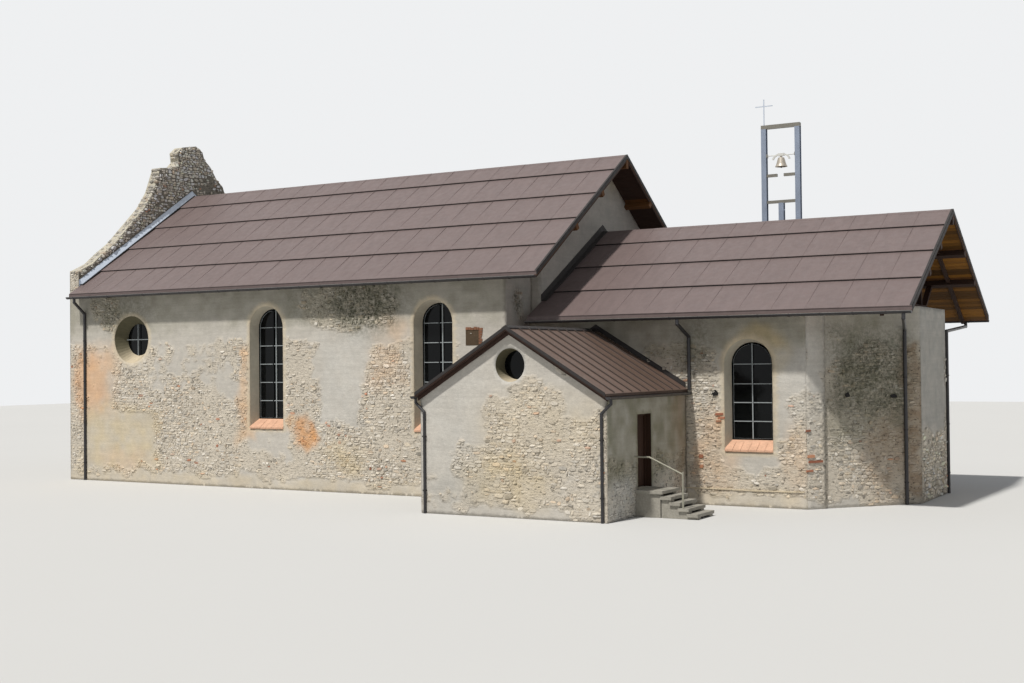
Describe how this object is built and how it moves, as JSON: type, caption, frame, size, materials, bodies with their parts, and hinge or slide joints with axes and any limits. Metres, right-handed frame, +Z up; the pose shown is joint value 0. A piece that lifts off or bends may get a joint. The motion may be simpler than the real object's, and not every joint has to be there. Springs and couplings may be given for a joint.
{
  "type": "small chapel",
  "caption": "Small hollow chapel with a ruined west gable, polygonal apse, open timber east gable, side sacristy with a hinged door, and a bell in a steel frame.",
  "frame": {"origin": "ground level on the long axis, in the middle of the nave", "axes": "+X east along the nave to the apse, +Y north, +Z up"},
  "size_m": [29.71, 15.97, 13.21],
  "materials": {
    "lime_plaster": "matt lime plaster, patched and worn",
    "rubble_stone": "rough rubble in lime mortar",
    "floor_stone": "worn stone",
    "roof_timber": "rough sawn, dark",
    "roof_sheet": "weathered mauve brown sheet",
    "sacristy_sheet": "weathered brown seamed sheet",
    "gutter_metal": "dull grey brown",
    "zinc": "bright zinc",
    "window_glass": "dark glass in painted bars",
    "sill_tile": "fired clay",
    "door_wood": "dark stained planks",
    "stair_stone": "pale grey slabs",
    "rail_paint": "white paint",
    "frame_steel": "galvanised, dull",
    "bell_metal": "pale bell bronze",
    "dark_iron": "dark iron"
  },
  "bodies": {
    "building": {"nave_south_wall": "lime_plaster", "nave_north_wall": "lime_plaster", "west_gable_wall": "rubble_stone", "chancel_gable_wall": "lime_plaster", "nave_floor": "floor_stone", "nave_wall_plates": "roof_timber", "nave_purlins": "roof_timber", "nave_roof_boards": "roof_timber", "nave_roof_south": "roof_sheet", "nave_roof_north": "roof_sheet", "nave_gutters": "gutter_metal", "nave_downpipe": "gutter_metal", "ruin_flashing": "zinc", "nave_window_glass": "window_glass", "nave_window_sills": "sill_tile", "west_door": "door_wood", "choir_south_wall": "lime_plaster", "choir_north_wall": "lime_plaster", "apse_southeast_wall": "rubble_stone", "apse_east_wall": "lime_plaster", "apse_northeast_wall": "rubble_stone", "choir_floor": "floor_stone", "choir_wall_plates": "roof_timber", "choir_purlins": "roof_timber", "choir_roof_boards": "roof_timber", "choir_roof_south": "roof_sheet", "choir_roof_north": "roof_sheet", "choir_gable_truss": "roof_timber", "choir_gutters": "gutter_metal", "choir_downpipes": "gutter_metal", "choir_window_glass": "window_glass", "choir_window_sills": "sill_tile", "sacristy_front_wall": "rubble_stone", "sacristy_west_wall": "rubble_stone", "sacristy_east_wall_south": "lime_plaster", "sacristy_east_wall_north": "lime_plaster", "sacristy_door_lintel": "lime_plaster", "sacristy_floor": "floor_stone", "sacristy_roof_boards": "roof_timber", "sacristy_roof_east": "sacristy_sheet", "sacristy_roof_west": "sacristy_sheet", "sacristy_gutters": "gutter_metal", "sacristy_downpipes": "gutter_metal", "sacristy_window_glass": "window_glass", "sacristy_door_frame": "door_wood", "stair_landing": "stair_stone", "stair_treads": "stair_stone", "stair_handrail": "rail_paint", "bell_frame_posts": "frame_steel", "bell_frame_beams": "frame_steel", "frame_cross": "zinc"},
    "sacristy_door": {"sacristy_door": "door_wood"},
    "bell": {"bell_headstock": "rail_paint", "bell_shell": "bell_metal", "bell_clapper": "dark_iron"}
  },
  "joints": [
    {"name": "sacristy_door_hinge", "type": "hinge", "parent": "building", "child": "sacristy_door", "pos_m": [13.837, -6.76, 1.7], "axis": [0, 0, -1], "range_deg": [0, 90]},
    {"name": "bell_swing", "type": "hinge", "parent": "building", "child": "bell", "pos_m": [13.69, 5.6, 11.2], "axis": [1, 0, 0], "range_deg": [-35, 35]}
  ]
}
